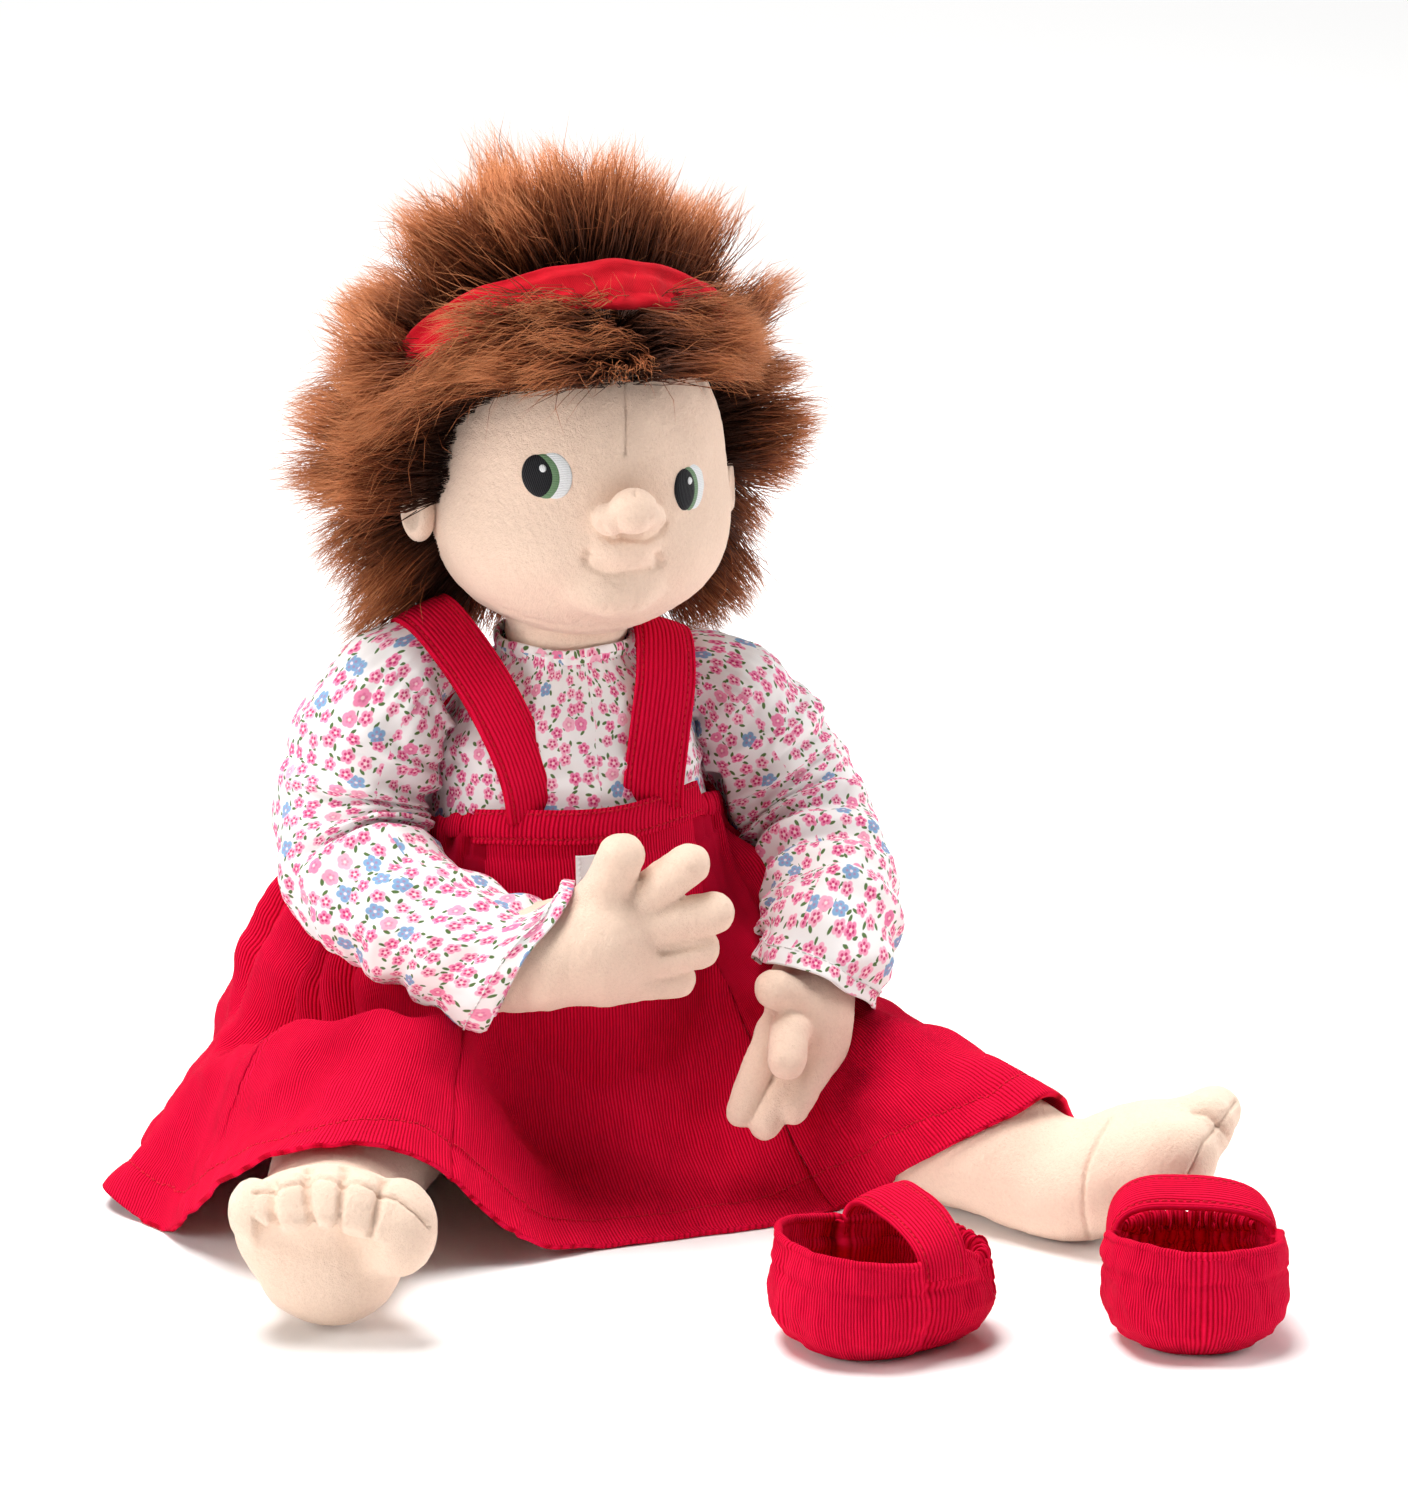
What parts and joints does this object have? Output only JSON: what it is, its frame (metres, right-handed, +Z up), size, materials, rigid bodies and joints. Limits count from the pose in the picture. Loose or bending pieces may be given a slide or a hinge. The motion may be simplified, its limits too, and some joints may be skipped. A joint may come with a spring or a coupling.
{
  "type": "soft doll",
  "caption": "Soft stuffed child doll seated with legs apart, with fur wig, headband, printed shirt, corduroy pinafore and a pair of loose strap shoes; turns its head and lifts its limbs.",
  "frame": {"origin": "middle of the seat's flat underside, on the floor the doll sits on", "axes": "+Z up, the doll faces -Y, its left side is +X"},
  "size_m": [0.326, 0.3562, 0.325],
  "materials": {
    "velour": "short soft pile",
    "filling": "loose polyester fibre",
    "pellet_bag": "woven cotton bag of pellets",
    "faux_fur": "long pile",
    "fur_backing": "knitted backing",
    "headband_cloth": "plain knit",
    "thread_black": "satin stitch",
    "thread_green": "satin stitch",
    "thread_white": "satin stitch",
    "printed_cotton": "small floral print",
    "red_corduroy": "fine wale corduroy",
    "white_tape": "woven tape"
  },
  "bodies": {
    "torso": {"bib_tab": "white_tape", "pinafore_bib_band": "red_corduroy", "pinafore_elastic_left": "red_corduroy", "pinafore_elastic_right": "red_corduroy", "pinafore_front_panel": "red_corduroy", "pinafore_side_left": "red_corduroy", "pinafore_side_right": "red_corduroy", "seat_pellet_bag": "pellet_bag", "shirt_body": "printed_cotton", "shirt_neck_binding": "printed_cotton", "strap_left": "red_corduroy", "strap_right": "red_corduroy", "torso_filling": "filling", "torso_skin": "velour"},
    "neck": {"neck_filling": "filling", "neck_skin": "velour"},
    "head": {"ear_left": "velour", "ear_right": "velour", "eye_left_glint": "thread_white", "eye_left_iris": "thread_green", "eye_left_pupil": "thread_black", "eye_left_white": "thread_white", "eye_right_glint": "thread_white", "eye_right_iris": "thread_green", "eye_right_pupil": "thread_black", "eye_right_white": "thread_white", "head_filling": "filling", "head_skin": "velour", "headband": "headband_cloth", "nose": "velour", "wig_backing": "fur_backing", "wig_pile": "faux_fur"},
    "arm_right": {"arm_right_filling": "filling", "arm_right_skin": "velour", "sleeve_right": "printed_cotton"},
    "arm_left": {"arm_left_filling": "filling", "arm_left_skin": "velour", "sleeve_left": "printed_cotton"},
    "leg_right": {"foot_right": "velour", "leg_right_filling": "filling", "leg_right_skin": "velour"},
    "leg_left": {"foot_left": "velour", "leg_left_filling": "filling", "leg_left_skin": "velour"},
    "shoe_a": {"shoe_a_heel_elastic": "red_corduroy", "shoe_a_sole": "red_corduroy", "shoe_a_upper": "red_corduroy"},
    "shoe_a_strap": {"shoe_a_strap": "red_corduroy"},
    "shoe_b": {"shoe_b_heel_elastic": "red_corduroy", "shoe_b_sole": "red_corduroy", "shoe_b_upper": "red_corduroy"},
    "shoe_b_strap": {"shoe_b_strap": "red_corduroy"}
  },
  "joints": [
    {"name": "neck_nod", "type": "hinge", "parent": "torso", "child": "neck", "pos_m": [0, 0, 0.165], "axis": [-1, 0, 0], "range_deg": [-12, 12], "deforming": ["neck_skin", "neck_filling"]},
    {"name": "neck_turn", "type": "hinge", "parent": "neck", "child": "head", "pos_m": [0, 0, 0.176], "axis": [0, 0, 1], "range_deg": [-40, 40]},
    {"name": "shoulder_right", "type": "hinge", "parent": "torso", "child": "arm_right", "pos_m": [-0.057, 0, 0.153], "axis": [-1, 0, 0], "range_deg": [0, 50]},
    {"name": "shoulder_left", "type": "hinge", "parent": "torso", "child": "arm_left", "pos_m": [0.057, 0, 0.153], "axis": [-1, 0, 0], "range_deg": [0, 75]},
    {"name": "hip_right", "type": "hinge", "parent": "torso", "child": "leg_right", "pos_m": [-0.06, -0.02, 0.022], "axis": [-0.8827, 0.4699, 0], "range_deg": [0, 15], "deforming": ["pinafore_front_panel", "pinafore_side_right", "pinafore_side_left"]},
    {"name": "hip_left", "type": "hinge", "parent": "torso", "child": "leg_left", "pos_m": [0.06, -0.02, 0.022], "axis": [-0.8785, -0.4777, 0], "range_deg": [0, 15], "deforming": ["pinafore_front_panel", "pinafore_side_right", "pinafore_side_left"]},
    {"name": "shoe_a_lift", "type": "slide", "parent": "torso", "child": "shoe_a", "axis": [0, 0, 1], "range_m": [0, 0.12]},
    {"name": "shoe_b_lift", "type": "slide", "parent": "torso", "child": "shoe_b", "axis": [0, 0, 1], "range_m": [0, 0.12]},
    {"name": "shoe_a_strap_open", "type": "hinge", "parent": "shoe_a", "child": "shoe_a_strap", "pos_m": [0.04785, -0.21924, 0.02735], "axis": [0.9848, 0.1736, 0], "range_deg": [0, 90]},
    {"name": "shoe_b_strap_open", "type": "hinge", "parent": "shoe_b", "child": "shoe_b_strap", "pos_m": [0.10701, -0.20599, 0.02735], "axis": [-0.2756, -0.9613, 0], "range_deg": [0, 90]}
  ]
}
